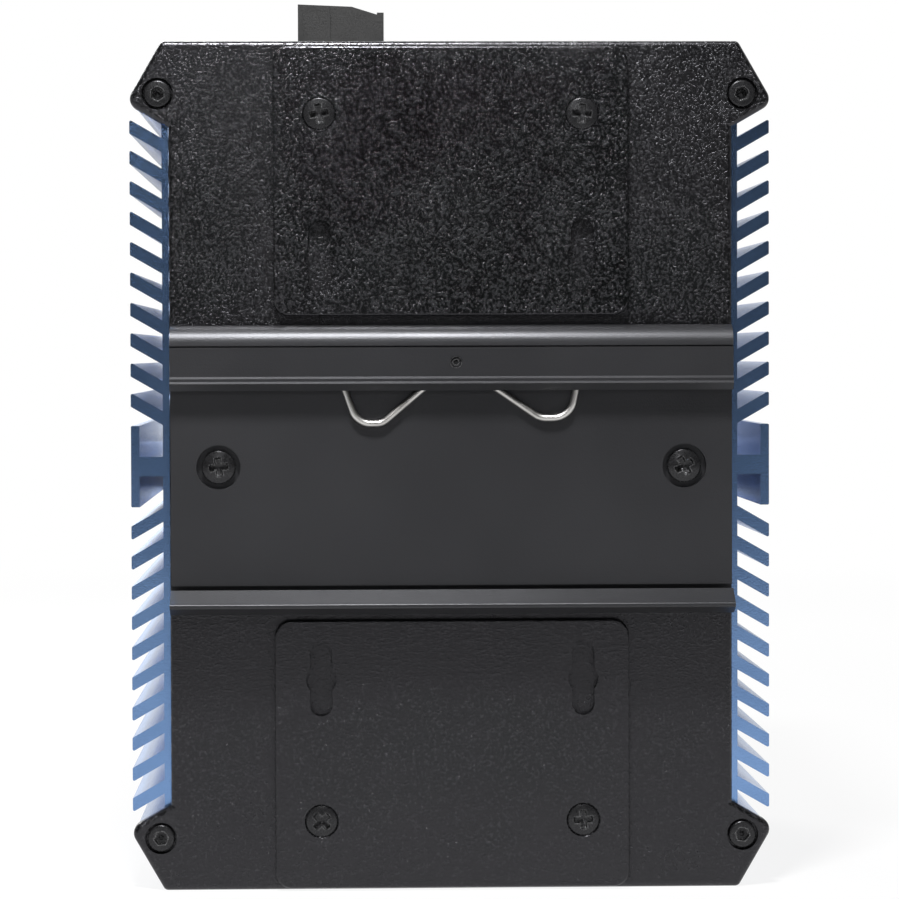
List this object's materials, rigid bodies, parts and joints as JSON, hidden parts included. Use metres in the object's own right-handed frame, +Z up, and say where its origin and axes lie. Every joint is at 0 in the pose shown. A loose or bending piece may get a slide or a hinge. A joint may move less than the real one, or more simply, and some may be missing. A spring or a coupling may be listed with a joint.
{
  "type": "din rail ethernet switch",
  "caption": "Industrial network switch with finned side extrusions, a rail bracket with a wire spring, wall-mount plates, copper and optical ports and a plug-in power terminal.",
  "frame": {"origin": "On the surface that the switch stands on, in the middle of its width and its depth.", "axes": "+Z is up, -Y is the way the ports face, +Y is the rail side, +X is right as seen from the ports."},
  "size_m": [0.1054, 0.1162, 0.1504],
  "materials": {
    "black_powder": "black fine-texture powder coat",
    "blue_anodised": "blue anodised extrusion",
    "black_anodised": "black anodised extrusion",
    "black_steel": "black oxide",
    "spring_wire": "bright drawn stainless wire",
    "jack_shell": "moulded thermoplastic in a shield",
    "cage_sheet": "plated sheet",
    "plug_black": "moulded",
    "header_black": "moulded",
    "tinned_pins": "tinned",
    "clamp_brass": "nickel flashed",
    "bright_steel": "zinc plated",
    "standoff_brass": "turned",
    "board_laminate": "glass-filled laminate with solder mask",
    "chip_epoxy": "moulded epoxy",
    "soft_pad": "soft thermal pad",
    "transformer_body": "ferrite and tape",
    "capacitor_can": "sleeved can",
    "socket_plastic": "moulded",
    "clear_pipe": "clear moulded pipe",
    "lamp": "small surface lamp",
    "switch_body": "moulded",
    "button_plastic": "moulded grey"
  },
  "bodies": {
    "housing": {"back_panel": "black_powder", "front_panel": "black_powder", "upper_wall_plate": "black_powder", "lower_wall_plate": "black_powder", "top_cover": "black_powder", "bottom_cover": "black_powder", "left_heatsink": "blue_anodised", "right_heatsink": "blue_anodised", "din_bracket": "black_anodised", "back_panel_screws": "black_steel", "front_panel_screws": "black_steel", "bracket_screws": "black_steel", "wall_plate_screws": "black_steel", "spring_set_screw": "black_steel", "rail_spring": "spring_wire", "rj45_jack_1": "jack_shell", "rj45_jack_2": "jack_shell", "rj45_jack_3": "jack_shell", "rj45_jack_4": "jack_shell", "rj45_jack_5": "jack_shell", "rj45_jack_6": "jack_shell", "rj45_jack_7": "jack_shell", "rj45_jack_8": "jack_shell", "sfp_cage_1": "cage_sheet", "sfp_cage_2": "cage_sheet", "sfp_cage_3": "cage_sheet", "sfp_cage_4": "cage_sheet", "terminal_header": "header_black", "header_pins": "tinned_pins", "board_screws": "bright_steel", "power_board_screws": "bright_steel", "indicator_screws": "bright_steel", "backplane_screws": "bright_steel", "earth_screw": "bright_steel", "earth_nut": "bright_steel", "board_standoffs": "standoff_brass", "power_board_spacers": "standoff_brass", "indicator_pillars": "standoff_brass", "backplane_standoffs": "standoff_brass", "main_board": "board_laminate", "port_board": "board_laminate", "power_board": "board_laminate", "indicator_board": "board_laminate", "backplane": "board_laminate", "switch_chip": "chip_epoxy", "port_chip": "chip_epoxy", "memory_chips": "chip_epoxy", "magnetics": "chip_epoxy", "thermal_pads": "soft_pad", "power_transformer": "transformer_body", "power_capacitors": "capacitor_can", "backplane_sockets": "socket_plastic", "light_pipes": "clear_pipe", "indicator_lamps": "lamp", "reset_switch": "switch_body"},
    "plug": {"terminal_plug": "plug_black", "plug_clamps": "clamp_brass", "plug_screws": "bright_steel"},
    "button": {"reset_button": "button_plastic"}
  },
  "joints": [
    {"name": "plug_pull", "type": "slide", "parent": "housing", "child": "plug", "axis": [0, 0, 1], "range_m": [0, 0.0075]},
    {"name": "reset_press", "type": "slide", "parent": "housing", "child": "button", "axis": [0, 1, 0], "range_m": [0, 0.0003], "stiffness_N_per_m": 1000, "springref_m": -0.0005}
  ]
}
